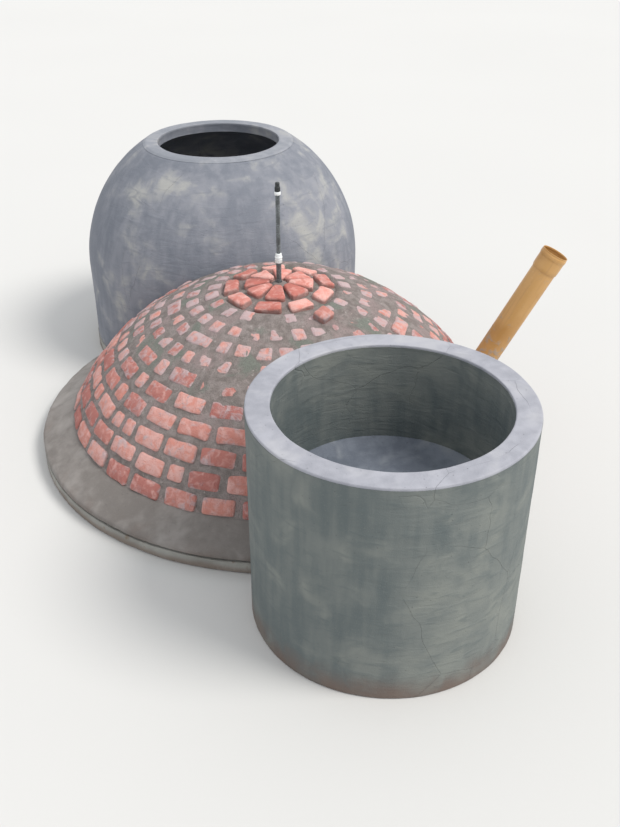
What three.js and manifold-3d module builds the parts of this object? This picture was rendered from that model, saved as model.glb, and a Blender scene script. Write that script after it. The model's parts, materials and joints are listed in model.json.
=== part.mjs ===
// Fixed-dome biogas digester: a brick dome on a round slab, an open rendered tank in front
// of it, and a rendered chamber with a domed top and a manhole behind it.
// Millimetres, +Z up. The origin is on the ground, straight under the crown of the dome.
// +Y runs from the tank over the dome to the chamber.
import * as THREE from 'three';
import * as BufferGeometryUtils from 'three/addons/utils/BufferGeometryUtils.js';
import Module from 'manifold-3d';

// Gap between a piece and the neighbour that it is cut to
const GAP = 0.3;

// Round walls are made in quarters, named by the side that they face
const QUARTERS = ['right', 'back', 'left', 'front'];

// Vertices closer than this are one vertex
const WELD_DISTANCE = 1e-3;

// Digester: slab, dome and crown
const SLAB_THICKNESS = 80;
const DOME_FOOT_RADIUS = 1450;
const DOME_RISE = 980;
const DOME_WALL = 110;
const LOWER_COURSES = 4;
const MIDDLE_COURSES = 4;
const UPPER_COURSES = 3;
const CROWN_RADIUS = 365;
const ROSETTE_RADIUS = 245;
const CROWN_RING_ROWS = 1;
const PLUG_RADIUS = 75;
const COLLAR_WIDTH = 150;
const COLLAR_HEIGHT = 140;
const COLLAR_EDGE = 40;
const DOME_SIDES = 64;

// Passage from the digester into the chamber
const PASSAGE_WIDTH = 620;
const PASSAGE_HEIGHT = 480;
const LINTEL_HEIGHT = 70;
const LINTEL_BEARING = 90;

// Open tank
const TANK_Y = -1880;
const TANK_RADIUS = 700;
const TANK_WALL = 130;
const TANK_TOP = 1240;
const TANK_DEPTH = 600;
const TANK_SLAB = 80;
const TANK_RIM_HEIGHT = 45;
const TANK_SIDES = 48;

// Chamber with a manhole
const CHAMBER_Y = 1550;
const CHAMBER_RADIUS = 1040;
const CHAMBER_WALL = 110;
const CHAMBER_SPRING = 660;
const CHAMBER_TOP = 1550;
const MANHOLE_RADIUS = 442;
const MANHOLE_RIM_HEIGHT = 75;
const CHAMBER_SIDES = 48;
const CHAMBER_ROWS = 8;

// Inlet pipe: a plastic drain pipe with a socket, leaning outward through the dome's flank
const INLET_AZIMUTH = THREE.MathUtils.degToRad(-16);
const INLET_LEAN = THREE.MathUtils.degToRad(27);
const INLET_RADIUS = 80;
const INLET_WALL = 5;
const INLET_ENTRY_HEIGHT = 350;
const INLET_INSIDE = 190;
const INLET_OUTSIDE = 880;
const INLET_JOINTS = [130, 505];
const INLET_HOLE_DEPTH = 380;
const SOCKET_RADIUS = 89;
const SOCKET_LENGTH = 130;
const SOCKET_LAP = 30;
const HAUNCH_RADIUS = 150;
const HAUNCH_EDGE = 32;
const HAUNCH_TOP_RADIUS = 90;
const HAUNCH_LENGTH = 130;
const PIPE_SIDES = 24;

// Gas pipe: heights are from the top of the crown
const GAS_BORE = 16;
const GAS_STUB_RADIUS = 17;
const GAS_STUB_HEIGHT = 125;
const GAS_FITTING_RADIUS = 24;
const GAS_FITTING_HEIGHT = 62;
const GAS_RISER_RADIUS = 13.5;
const GAS_RISER_HEIGHT = 375;
const GAS_RING_RADIUS = 20;
const GAS_RING_HEIGHT = 22;
const GAS_CAP_RADIUS = 17;
const GAS_CAP_HEIGHT = 58;
const GAS_SIDES = 16;

// The dome is part of a sphere whose centre lies below the ground
const SPHERE_RADIUS = (DOME_FOOT_RADIUS ** 2 + DOME_RISE ** 2) / (2 * DOME_RISE);
const SPHERE_Z = SLAB_THICKNESS + DOME_RISE - SPHERE_RADIUS;
const CROWN_TOP = SLAB_THICKNESS + DOME_RISE;
const SLAB_RADIUS = DOME_FOOT_RADIUS + COLLAR_WIDTH;
const FOOT_ANGLE = Math.asin(DOME_FOOT_RADIUS / SPHERE_RADIUS);
const CROWN_ANGLE = Math.asin(CROWN_RADIUS / SPHERE_RADIUS);
const ROSETTE_ANGLE = Math.asin(ROSETTE_RADIUS / SPHERE_RADIUS);
const PLUG_ANGLE = Math.asin(PLUG_RADIUS / SPHERE_RADIUS);
const GAP_ANGLE = GAP / 2 / SPHERE_RADIUS;
const COURSE_ANGLE = (FOOT_ANGLE - CROWN_ANGLE) / (LOWER_COURSES + MIDDLE_COURSES + UPPER_COURSES);

// How far from the axis the dome's face lies at the top of the mortar collar
const collarRise = SLAB_THICKNESS + COLLAR_HEIGHT - SPHERE_Z;
const collarDistance = Math.sqrt(SPHERE_RADIUS ** 2 - collarRise ** 2);

const wasm = await Module();
wasm.setup();

// Booleans work on closed meshes whose shared vertices are merged
function toSolid(geometry) {
  const bare = geometry.clone();
  bare.deleteAttribute('normal');
  bare.deleteAttribute('uv');
  const merged = BufferGeometryUtils.mergeVertices(bare, WELD_DISTANCE);
  const mesh = new wasm.Mesh({
    numProp: 3,
    vertProperties: new Float32Array(merged.attributes.position.array),
    triVerts: new Uint32Array(merged.index.array),
  });
  return new wasm.Manifold(mesh);
}

function toGeometry(solid) {
  const mesh = solid.getMesh();
  const geometry = new THREE.BufferGeometry();
  geometry.setAttribute('position', new THREE.BufferAttribute(mesh.vertProperties, 3));
  geometry.setIndex(new THREE.BufferAttribute(mesh.triVerts, 1));
  geometry.computeVertexNormals();
  return geometry;
}

// A profile of [radius, height] points, turned about the Z axis. It runs anticlockwise
// round the section, and closes on itself unless it starts and ends on the axis.
function turned(profile, sides) {
  const closed = profile[0][0] !== 0;
  const section = closed ? [...profile, profile[0]] : profile;
  const points = section.map(([radius, height]) => new THREE.Vector2(radius, height));
  return new THREE.LatheGeometry(points, sides).rotateX(Math.PI / 2);
}

// Points along a sphere's meridian, from one angle off the vertical to another
function meridian(radius, centreZ, fromAngle, toAngle, steps) {
  const points = [];
  for (let step = 0; step <= steps; step += 1) {
    const angle = fromAngle + ((toAngle - fromAngle) * step) / steps;
    points.push([radius * Math.sin(angle), centreZ + radius * Math.cos(angle)]);
  }
  return points;
}

// Height of a sphere's surface at a distance from its axis
function sphereHeight(radius, centreZ, distance) {
  return centreZ + Math.sqrt(radius ** 2 - distance ** 2);
}

function box(lowX, lowY, lowZ, highX, highY, highZ) {
  const block = new THREE.BoxGeometry(highX - lowX, highY - lowY, highZ - lowZ);
  return block.translate((lowX + highX) / 2, (lowY + highY) / 2, (lowZ + highZ) / 2);
}

// A ring-shaped wall between two angles, seen from above, standing on a height
function curvedWall(outer, inner, fromAngle, toAngle, low, high, sides) {
  const shape = new THREE.Shape();
  shape.absarc(0, 0, outer, fromAngle, toAngle, false);
  shape.absarc(0, 0, inner, toAngle, fromAngle, true);
  const wall = new THREE.ExtrudeGeometry(shape, {
    depth: high - low,
    bevelEnabled: false,
    curveSegments: sides,
  });
  return wall.translate(0, 0, low);
}

const brick = { color: 0xb96f60, roughness: 0.9, metalness: 0 };
const freshBrick = { color: 0xd87f70, roughness: 0.85, metalness: 0 };
const mortar = { color: 0x85807a, roughness: 0.95, metalness: 0 };
const concrete = { color: 0x8c8b88, roughness: 0.95, metalness: 0 };
const render = { color: 0x6f8288, roughness: 0.85, metalness: 0 };
const paleRender = { color: 0xa2a6ae, roughness: 0.85, metalness: 0 };
const rubble = { color: 0x6e6258, roughness: 1, metalness: 0 };
const drainPlastic = { color: 0xc08b4e, roughness: 0.45, metalness: 0 };
const galvanised = { color: 0x59636a, roughness: 0.5, metalness: 0.8 };
const whitePlastic = { color: 0xdfe6e8, roughness: 0.35, metalness: 0 };
const blackPlastic = { color: 0x1f2a2c, roughness: 0.5, metalness: 0 };

const digester = new THREE.Group();

function add(parent, name, geometry, finish) {
  const mesh = new THREE.Mesh(geometry, new THREE.MeshStandardMaterial(finish));
  mesh.name = name;
  parent.add(mesh);
  return mesh;
}

// Dome shell between two angles off the vertical: its joint faces point at the sphere's centre
function domeBand(lowAngle, highAngle, courses) {
  const outer = meridian(SPHERE_RADIUS, SPHERE_Z, lowAngle, highAngle, courses);
  const inner = meridian(SPHERE_RADIUS - DOME_WALL, SPHERE_Z, highAngle, lowAngle, courses);
  return turned([...outer, ...inner], DOME_SIDES);
}

// The lowest band ends flat on the slab, so its inner foot is where the inner sphere meets it
function footBand(highAngle, courses) {
  const innerRadius = SPHERE_RADIUS - DOME_WALL;
  const innerFoot = Math.acos((SLAB_THICKNESS - SPHERE_Z) / innerRadius);
  const outer = meridian(SPHERE_RADIUS, SPHERE_Z, FOOT_ANGLE, highAngle, courses);
  const inner = meridian(innerRadius, SPHERE_Z, highAngle, innerFoot, courses);
  outer[0][1] = SLAB_THICKNESS;
  inner[inner.length - 1][1] = SLAB_THICKNESS;
  return turned([...outer, ...inner], DOME_SIDES);
}

// The dome as one solid block, grown by a gap all round and reaching below the ground
function domeBlock(gap) {
  const rows = LOWER_COURSES + MIDDLE_COURSES + UPPER_COURSES;
  const outer = meridian(SPHERE_RADIUS + gap, SPHERE_Z, FOOT_ANGLE, CROWN_ANGLE, rows);
  return toSolid(turned([
    [0, -SLAB_THICKNESS],
    [DOME_FOOT_RADIUS + gap, -SLAB_THICKNESS],
    ...outer,
    [0, CROWN_TOP + gap],
  ], DOME_SIDES));
}

// The sloped ring of mortar round the foot of the dome, before the dome is cut out of it
function collarBlock(gap) {
  const top = SLAB_THICKNESS + COLLAR_HEIGHT + gap;
  return toSolid(turned([
    [0, SLAB_THICKNESS],
    [SLAB_RADIUS + gap, SLAB_THICKNESS],
    [SLAB_RADIUS + gap, SLAB_THICKNESS + COLLAR_EDGE + gap],
    [collarDistance + gap, top],
    [0, top],
  ], DOME_SIDES));
}

// Everything that the dome, its collar and its slab fill, seen from outside, with the gap
function digesterBlock() {
  const slabBlock = toSolid(turned([
    [0, -SLAB_THICKNESS],
    [SLAB_RADIUS + GAP, -SLAB_THICKNESS],
    [SLAB_RADIUS + GAP, SLAB_THICKNESS],
    [0, SLAB_THICKNESS],
  ], DOME_SIDES));
  return domeBlock(GAP).add(collarBlock(GAP)).add(slabBlock);
}

const digesterShape = digesterBlock();

// Inlet pipe, drawn upright about its own axis and then leaned over at the dome's flank
const entryDistance = Math.sqrt(SPHERE_RADIUS ** 2 - (INLET_ENTRY_HEIGHT - SPHERE_Z) ** 2);
const inletFrame = new THREE.Matrix4()
  .makeRotationZ(INLET_AZIMUTH)
  .multiply(new THREE.Matrix4().makeTranslation(entryDistance, 0, INLET_ENTRY_HEIGHT))
  .multiply(new THREE.Matrix4().makeRotationY(INLET_LEAN));

function inletHole(radius) {
  const profile = [
    [0, -INLET_HOLE_DEPTH],
    [radius, -INLET_HOLE_DEPTH],
    [radius, INLET_OUTSIDE],
    [0, INLET_OUTSIDE],
  ];
  return toSolid(turned(profile, PIPE_SIDES).applyMatrix4(inletFrame));
}

const passage = toSolid(box(
  -PASSAGE_WIDTH / 2,
  DOME_FOOT_RADIUS / 2,
  SLAB_THICKNESS - GAP,
  PASSAGE_WIDTH / 2,
  SLAB_RADIUS + COLLAR_WIDTH,
  SLAB_THICKNESS + PASSAGE_HEIGHT,
));

function lintelBlock(gap) {
  const halfWidth = PASSAGE_WIDTH / 2 + LINTEL_BEARING + gap;
  const low = SLAB_THICKNESS + PASSAGE_HEIGHT - gap;
  const high = SLAB_THICKNESS + PASSAGE_HEIGHT + LINTEL_HEIGHT + gap;
  return toSolid(box(-halfWidth, DOME_FOOT_RADIUS / 2, low, halfWidth, SLAB_RADIUS, high));
}

// A wedge that keeps one quarter of a round wall about an upright axis, half a gap short of
// its neighbours
function quarter(index, centreY) {
  const middleAngle = (index * Math.PI) / 2;
  const reach = 2 * DOME_FOOT_RADIUS;
  const shape = new THREE.Shape();
  shape.moveTo(GAP * Math.SQRT1_2, 0);
  shape.lineTo(reach, -reach + GAP);
  shape.lineTo(reach, reach - GAP);
  shape.closePath();
  const wedge = new THREE.ExtrudeGeometry(shape, { depth: CHAMBER_TOP, bevelEnabled: false });
  return toSolid(wedge.rotateZ(middleAngle).translate(0, centreY, 0));
}

// Floor slab and the mortar collar that closes the foot of the dome
const slab = turned([[0, 0], [SLAB_RADIUS, 0], [SLAB_RADIUS, SLAB_THICKNESS], [0, SLAB_THICKNESS]],
  DOME_SIDES);
add(digester, 'digester_floor_slab', slab, concrete);

const collar = collarBlock(0).subtract(domeBlock(GAP)).subtract(passage);
add(digester, 'digester_foot_collar', toGeometry(collar), mortar);

// Dome, in three bands of brick courses
const lowerTop = FOOT_ANGLE - LOWER_COURSES * COURSE_ANGLE;
const middleTop = lowerTop - MIDDLE_COURSES * COURSE_ANGLE;
const lowerBand = toSolid(footBand(lowerTop + GAP_ANGLE, LOWER_COURSES))
  .subtract(passage)
  .subtract(lintelBlock(GAP))
  .subtract(inletHole(INLET_RADIUS + GAP));
add(digester, 'dome_lower_courses', toGeometry(lowerBand), brick);

const middleBand = toSolid(domeBand(lowerTop - GAP_ANGLE, middleTop + GAP_ANGLE, MIDDLE_COURSES))
  .subtract(passage)
  .subtract(lintelBlock(GAP));
const upperBand = toSolid(domeBand(middleTop - GAP_ANGLE, CROWN_ANGLE + GAP_ANGLE, UPPER_COURSES));
QUARTERS.forEach((side, index) => {
  const sector = quarter(index, 0);
  add(digester, `dome_middle_courses_${side}`, toGeometry(middleBand.intersect(sector)), brick);
  add(digester, `dome_upper_courses_${side}`, toGeometry(upperBand.intersect(sector)), brick);
});

const wholeShell = toSolid(footBand(CROWN_ANGLE, LOWER_COURSES + MIDDLE_COURSES + UPPER_COURSES));
const lintel = wholeShell.intersect(lintelBlock(0));
add(digester, 'passage_lintel', toGeometry(lintel), concrete);

// Crown: a ring of bricks, a rosette of bricks inside it, and the mortar plug round the gas pipe
const crownRing = domeBand(CROWN_ANGLE - GAP_ANGLE, ROSETTE_ANGLE + GAP_ANGLE,
  CROWN_RING_ROWS);
add(digester, 'crown_outer_brick_ring', crownRing, freshBrick);

const rosette = domeBand(ROSETTE_ANGLE - GAP_ANGLE, PLUG_ANGLE + GAP_ANGLE,
  CROWN_RING_ROWS);
add(digester, 'crown_inner_brick_ring', rosette, freshBrick);

const plugAngle = PLUG_ANGLE - GAP_ANGLE;
const plugHoleRadius = GAS_STUB_RADIUS + GAP;
const plug = turned([
  [plugHoleRadius, CROWN_TOP - DOME_WALL],
  [(SPHERE_RADIUS - DOME_WALL) * Math.sin(plugAngle), CROWN_TOP - DOME_WALL],
  [SPHERE_RADIUS * Math.sin(plugAngle), sphereHeight(SPHERE_RADIUS, SPHERE_Z, PLUG_RADIUS)],
  [plugHoleRadius, CROWN_TOP],
], GAS_SIDES);
add(digester, 'crown_mortar_plug', plug, mortar);

// Gas pipe: pieces stacked on the crown, all with the same bore
const gasPipe = new THREE.Group();
gasPipe.position.z = CROWN_TOP;
digester.add(gasPipe);

function pipePiece(outer, inner, low, high, sides) {
  return turned([[inner, low], [outer, low], [outer, high], [inner, high]], sides);
}

const fittingBase = GAS_STUB_HEIGHT;
const riserBase = fittingBase + GAS_FITTING_HEIGHT;
const ringBase = riserBase + GAS_RISER_HEIGHT;
const capBase = ringBase + GAS_RING_HEIGHT;
const boreRadius = GAS_BORE / 2;
add(gasPipe, 'gas_pipe_stub',
  pipePiece(GAS_STUB_RADIUS, boreRadius, -DOME_WALL, fittingBase, GAS_SIDES), galvanised);
add(gasPipe, 'gas_pipe_fitting',
  pipePiece(GAS_FITTING_RADIUS, boreRadius, fittingBase, riserBase, GAS_SIDES), whitePlastic);
add(gasPipe, 'gas_pipe_riser',
  pipePiece(GAS_RISER_RADIUS, boreRadius, riserBase, ringBase, GAS_SIDES), galvanised);
add(gasPipe, 'gas_pipe_ring',
  pipePiece(GAS_RING_RADIUS, boreRadius, ringBase, capBase, GAS_SIDES), whitePlastic);
add(gasPipe, 'gas_pipe_end_cap',
  turned([[0, capBase], [GAS_CAP_RADIUS, capBase], [GAS_CAP_RADIUS, capBase + GAS_CAP_HEIGHT],
    [0, capBase + GAS_CAP_HEIGHT]], GAS_SIDES), blackPlastic);

// Inlet pipe in three lengths, its socket at the open top, and the mortar haunch at its foot
const inletEnds = [-INLET_INSIDE, ...INLET_JOINTS, INLET_OUTSIDE];
['lower', 'middle', 'upper'].forEach((place, index) => {
  const low = inletEnds[index] + GAP / 2;
  const high = inletEnds[index + 1] - GAP / 2;
  const length = pipePiece(INLET_RADIUS, INLET_RADIUS - INLET_WALL, low, high, PIPE_SIDES);
  add(digester, `inlet_pipe_${place}_length`, length.applyMatrix4(inletFrame), drainPlastic);
});

const socketLow = INLET_OUTSIDE - SOCKET_LAP;
const socket = pipePiece(SOCKET_RADIUS, INLET_RADIUS + GAP, socketLow, socketLow + SOCKET_LENGTH,
  PIPE_SIDES);
add(digester, 'inlet_pipe_socket', socket.applyMatrix4(inletFrame), drainPlastic);

const haunchCone = turned([
  [0, -HAUNCH_RADIUS],
  [HAUNCH_RADIUS, -HAUNCH_RADIUS],
  [HAUNCH_RADIUS, HAUNCH_EDGE],
  [HAUNCH_TOP_RADIUS, HAUNCH_LENGTH],
  [0, HAUNCH_LENGTH],
], PIPE_SIDES);
const haunch = toSolid(haunchCone.applyMatrix4(inletFrame))
  .subtract(digesterShape)
  .subtract(inletHole(INLET_RADIUS + GAP));
add(digester, 'inlet_pipe_haunch', toGeometry(haunch), mortar);

// Open tank: a foundation ring with rubble in it, a floor slab, the wall and its rim
const tankFloor = TANK_TOP - TANK_DEPTH;
const tankBase = tankFloor - TANK_SLAB;
const tankInner = TANK_RADIUS - TANK_WALL;
const foundationRing = pipePiece(TANK_RADIUS, tankInner, 0, tankBase, TANK_SIDES);
const foundation = toSolid(foundationRing.translate(0, TANK_Y, 0)).subtract(digesterShape);
add(digester, 'tank_foundation_wall', toGeometry(foundation), render);

const fillRadius = tankInner - GAP;
const fillDrum = turned([[0, 0], [fillRadius, 0], [fillRadius, tankBase], [0, tankBase]],
  TANK_SIDES);
const fill = toSolid(fillDrum.translate(0, TANK_Y, 0)).subtract(digesterShape);
add(digester, 'tank_rubble_fill', toGeometry(fill), rubble);

const tank = new THREE.Group();
tank.position.y = TANK_Y;
digester.add(tank);
const floorSlab = turned([[0, tankBase], [TANK_RADIUS, tankBase], [TANK_RADIUS, tankFloor],
  [0, tankFloor]], TANK_SIDES);
add(tank, 'tank_floor_slab', floorSlab, paleRender);

const rimBase = TANK_TOP - TANK_RIM_HEIGHT;
const tankGapAngle = GAP / 2 / tankInner;
QUARTERS.forEach((side, index) => {
  const middleAngle = (index * Math.PI) / 2;
  const from = middleAngle - Math.PI / 4 + tankGapAngle;
  const to = middleAngle + Math.PI / 4 - tankGapAngle;
  const wall = curvedWall(TANK_RADIUS, tankInner, from, to, tankFloor, rimBase, TANK_SIDES / 4);
  add(tank, `tank_wall_${side}`, wall, render);
});
add(tank, 'tank_rim', pipePiece(TANK_RADIUS, tankInner, rimBase, TANK_TOP, TANK_SIDES), paleRender);

// Chamber: a drum wall that runs down to its own slab and onto the dome, under a domed top
const chamberInner = CHAMBER_RADIUS - CHAMBER_WALL;
const chamberDisc = turned([
  [0, 0],
  [CHAMBER_RADIUS, 0],
  [CHAMBER_RADIUS, SLAB_THICKNESS],
  [0, SLAB_THICKNESS],
], CHAMBER_SIDES);
const chamberSlab = toSolid(chamberDisc.translate(0, CHAMBER_Y, 0)).subtract(digesterShape);
add(digester, 'chamber_floor_slab', toGeometry(chamberSlab), concrete);

const drumRing = pipePiece(CHAMBER_RADIUS, chamberInner, SLAB_THICKNESS, CHAMBER_SPRING,
  CHAMBER_SIDES);
const drum = toSolid(drumRing.translate(0, CHAMBER_Y, 0)).subtract(digesterShape);

// The domed top runs from the spring line up to the seat of the manhole rim
const seatHeight = CHAMBER_TOP - MANHOLE_RIM_HEIGHT;
const outerSeat = Math.acos((seatHeight - CHAMBER_SPRING) / CHAMBER_RADIUS);
const innerSeat = Math.acos((seatHeight - CHAMBER_SPRING) / chamberInner);
const topShell = turned([
  ...meridian(CHAMBER_RADIUS, CHAMBER_SPRING, Math.PI / 2, outerSeat, CHAMBER_ROWS),
  ...meridian(chamberInner, CHAMBER_SPRING, innerSeat, Math.PI / 2, CHAMBER_ROWS),
], CHAMBER_SIDES);
const domedTop = toSolid(topShell.translate(0, CHAMBER_Y, 0)).subtract(digesterShape);

QUARTERS.forEach((side, index) => {
  const sector = quarter(index, CHAMBER_Y);
  if (side !== 'front') {
    add(digester, `chamber_wall_${side}`, toGeometry(drum.intersect(sector)), render);
  }
  add(digester, `chamber_top_${side}`, toGeometry(domedTop.intersect(sector)), render);
});

const rimOuter = Math.sqrt(CHAMBER_RADIUS ** 2 - (CHAMBER_TOP - CHAMBER_SPRING) ** 2);
const seatOuter = Math.sqrt(CHAMBER_RADIUS ** 2 - (seatHeight - CHAMBER_SPRING) ** 2);
const manholeRim = turned([
  [MANHOLE_RADIUS, seatHeight],
  [seatOuter, seatHeight],
  [rimOuter, CHAMBER_TOP],
  [MANHOLE_RADIUS, CHAMBER_TOP],
], CHAMBER_SIDES);
add(digester, 'manhole_rim', manholeRim.translate(0, CHAMBER_Y, 0), paleRender);

export default digester;
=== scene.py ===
# Fixed-dome biogas digester, dressed in the order in which the real plant goes up.
# Metres, +Z up. The origin is on the ground under the crown of the dome, with the open tank in
# front (-Y) and the chamber behind (+Y).
import json
import random
from math import acos, asin, atan2, ceil, cos, hypot, pi, radians, sin, sqrt, tau

import bpy
from mathutils import Euler, Matrix, Vector, noise


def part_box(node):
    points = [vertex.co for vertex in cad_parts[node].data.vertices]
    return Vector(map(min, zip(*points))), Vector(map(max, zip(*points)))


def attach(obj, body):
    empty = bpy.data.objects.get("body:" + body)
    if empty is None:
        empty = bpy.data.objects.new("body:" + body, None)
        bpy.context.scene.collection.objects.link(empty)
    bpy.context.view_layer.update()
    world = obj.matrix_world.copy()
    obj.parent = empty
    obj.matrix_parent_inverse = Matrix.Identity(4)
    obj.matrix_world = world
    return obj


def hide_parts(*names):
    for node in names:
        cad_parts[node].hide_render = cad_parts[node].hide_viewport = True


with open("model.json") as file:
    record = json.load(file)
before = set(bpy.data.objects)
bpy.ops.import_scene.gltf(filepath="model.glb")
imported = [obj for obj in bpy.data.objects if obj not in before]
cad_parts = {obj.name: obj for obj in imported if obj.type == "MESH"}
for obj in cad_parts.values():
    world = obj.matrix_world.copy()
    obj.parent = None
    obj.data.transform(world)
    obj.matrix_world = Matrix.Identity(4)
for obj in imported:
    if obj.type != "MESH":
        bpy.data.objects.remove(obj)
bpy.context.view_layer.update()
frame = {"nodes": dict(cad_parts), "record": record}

# Digester floor slab
# A disc of concrete, cast on the ground before anything else. It keeps the slightly wavy edge of
# the earth it was poured against; damp earth and painted shade darken it towards the ground.


class Tree:
    """The nodes of a finish or of a shape."""

    def add(self, kind, inputs=None, **settings):
        """One node with its settings. Its inputs, by name or number, are linked or set."""
        node = self.tree.nodes.new(kind)
        for label, value in settings.items():
            setattr(node, label, value)
        for label, value in (inputs or {}).items():
            socket = node.inputs[label]
            if isinstance(value, bpy.types.NodeSocket):
                self.tree.links.new(value, socket)
            else:
                socket.default_value = (*value, 1.0) if socket.type == "RGBA" else value
        return node

    def math(self, operation, *values):
        """One operation on two or three numbers."""
        return self.add("ShaderNodeMath", dict(enumerate(values)), operation=operation).outputs[0]


class Finish(Tree):
    """A material: patterns in the part's own metres, and coats of colour laid where they say."""

    def __init__(self, name, colour):
        self.material = bpy.data.materials.new(name)
        self.material.use_nodes = True
        self.tree = self.material.node_tree
        self.tree.nodes.clear()
        self.place = self.add("ShaderNodeTexCoord").outputs["Object"]
        self.colour = colour

    def stretched(self, *scale):
        """The part's own metres, with the patterns squeezed along each axis."""
        return self.add("ShaderNodeMapping", {"Vector": self.place, "Scale": scale}).outputs[0]

    def clouds(self, size, detail=3.0, warp=0.0, across=None):
        """Soft patches of about this size, from 0 to 1."""
        return self.add("ShaderNodeTexNoise", {
            "Vector": across or self.place, "Scale": 1 / size, "Detail": detail,
            "Distortion": warp}).outputs["Fac"]

    def pits(self, size):
        """Distance to the nearest of many scattered points, for grains and air holes."""
        return self.add("ShaderNodeTexVoronoi", {
            "Vector": self.place, "Scale": 1 / size}).outputs["Distance"]

    def hairlines(self, size, width, wander, most):
        """Fine shrinkage cracks on a wandering net: 0 beside a crack, and the most on it."""
        bend = self.add("ShaderNodeTexNoise", {"Vector": self.place, "Scale": 2 / size})
        shift = self.add("ShaderNodeVectorMath", {
            0: bend.outputs["Color"], 1: [wander] * 3, 2: self.place}, operation="MULTIPLY_ADD")
        net = self.add("ShaderNodeTexVoronoi", {
            "Vector": shift.outputs[0], "Scale": 1 / size}, feature="DISTANCE_TO_EDGE")
        return self.band(net.outputs["Distance"], width, 0.0, most)

    def height(self):
        return self.add("ShaderNodeSeparateXYZ", {0: self.place}).outputs["Z"]

    def band(self, value, low, high, most=1.0):
        """0 where the value is at low, and the most where it is at high."""
        return self.add("ShaderNodeMapRange", {
            "Value": value, "From Min": low, "From Max": high, "To Max": most,
        }, interpolation_type="SMOOTHSTEP").outputs["Result"]

    def sum(self, *values):
        """Adds patterns, each with its weight: (pattern, weight), ..."""
        total = 0.0
        for value, weight in values:
            total = self.math("MULTIPLY_ADD", value, weight, total)
        return total

    def over(self, colour, cover):
        """Lays a colour over what is there, as much as cover says."""
        self.colour = self.add("ShaderNodeMix", {
            0: cover, 6: self.colour, 7: colour}, data_type="RGBA").outputs[2]

    def coat(self, colour, pattern, low, high, share=1.0):
        """Lays a colour on: none where the pattern is at low, and this share of it at high."""
        self.over(colour, self.band(pattern, low, high, share))

    def lay(self, roughness, relief, depth, metallic=0.0):
        """Gives the shader its coats, a roughness and a relief of this depth in metres."""
        bump = self.add("ShaderNodeBump", {"Distance": depth, "Height": relief})
        shader = self.add("ShaderNodeBsdfPrincipled", {
            "Base Color": self.colour, "Roughness": roughness, "Metallic": metallic,
            "Normal": bump.outputs["Normal"]})
        self.add("ShaderNodeOutputMaterial", {"Surface": shader.outputs["BSDF"]})
        return self.material


class Steps(Tree):
    """A Geometry Nodes tree with named inputs, which ends in one plain mesh with its finish."""

    CRISP_ANGLE = 0.85

    def __init__(self, name, inputs):
        self.tree = bpy.data.node_groups.new(name, "GeometryNodeTree")
        face = self.tree.interface
        for label, kind in {"Geometry": "Geometry", **inputs, "Finish": "Material"}.items():
            face.new_socket(label, in_out="INPUT", socket_type=f"NodeSocket{kind}")
        face.new_socket("Geometry", in_out="OUTPUT", socket_type="NodeSocketGeometry")
        self.given = self.add("NodeGroupInput").outputs

    def carried(self, name, kind="FLOAT_VECTOR"):
        """What the points carry under this name."""
        return self.add("GeometryNodeInputNamedAttribute", {"Name": name}, data_type=kind).outputs

    def unevenness(self, kind, detail):
        """A pattern of the size that the input of this kind gives."""
        scale = self.math("DIVIDE", 1.0, self.given[f"{kind} size"])
        return self.add("ShaderNodeTexNoise", {"Scale": scale, "Detail": detail}).outputs

    def moved(self, geometry, way, depth):
        """Moves each point along its way by a depth."""
        offset = self.add("ShaderNodeVectorMath", {0: way, "Scale": depth}, operation="SCALE")
        return self.add("GeometryNodeSetPosition", {
            "Geometry": geometry, "Offset": offset.outputs[0]}).outputs[0]

    def end(self, geometry):
        """Realizes what is instanced, smooths all but the crisp corners, and sets the finish."""
        plain = self.add("GeometryNodeRealizeInstances", {"Geometry": geometry})
        smooth = self.add("GeometryNodeSetShadeSmooth", {"Geometry": plain.outputs[0]})
        angle = self.add("GeometryNodeInputMeshEdgeAngle").outputs["Unsigned Angle"]
        corner = self.add("FunctionNodeCompare", {
            0: angle, 1: self.CRISP_ANGLE}, operation="GREATER_THAN")
        crisp = self.add("GeometryNodeSetShadeSmooth", {
            "Geometry": smooth.outputs[0], "Selection": corner.outputs[0], "Shade Smooth": False,
        }, domain="EDGE")
        done = self.add("GeometryNodeSetMaterial", {
            "Geometry": crisp.outputs[0], "Material": self.given["Finish"]})
        self.add("NodeGroupOutput", {"Geometry": done.outputs[0]})

    def run(self, name, mesh, values):
        """The plain mesh that the tree makes of this one, as an object at the origin."""
        piece = placed(name, mesh)
        modifier = piece.modifiers.new("made", "NODES")
        modifier.node_group = self.tree
        for item in self.tree.interface.items_tree:
            if item.in_out == "INPUT" and item.name in values:
                modifier[item.identifier] = values[item.name]
        settle(piece)
        return piece


def placed(name, data):
    """A mesh, a light or a camera as an object of the scene, at the origin."""
    thing = bpy.data.objects.new(name, data)
    bpy.context.scene.collection.objects.link(thing)
    return thing


def settle(piece):
    """Turns the piece and its modifiers into one plain mesh."""
    bpy.context.view_layer.update()
    graph = bpy.context.evaluated_depsgraph_get()
    mesh = bpy.data.meshes.new_from_object(
        piece.evaluated_get(graph), preserve_all_data_layers=True, depsgraph=graph)
    piece.modifiers.clear()
    piece.data = mesh
    mesh.name = piece.name


def meshed(name, points, faces=()):
    mesh = bpy.data.meshes.new(name)
    mesh.from_pydata(points, [], faces)
    return mesh


def skin(rings):
    """Faces from each ring of points to the next. A ring may name one point several times."""
    faces = []
    for ring, above in zip(rings, rings[1:]):
        for side in range(len(ring)):
            after = (side + 1) % len(ring)
            face = (ring[side], ring[after], above[after], above[side])
            faces.append(tuple(dict.fromkeys(face)))
    return faces


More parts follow.
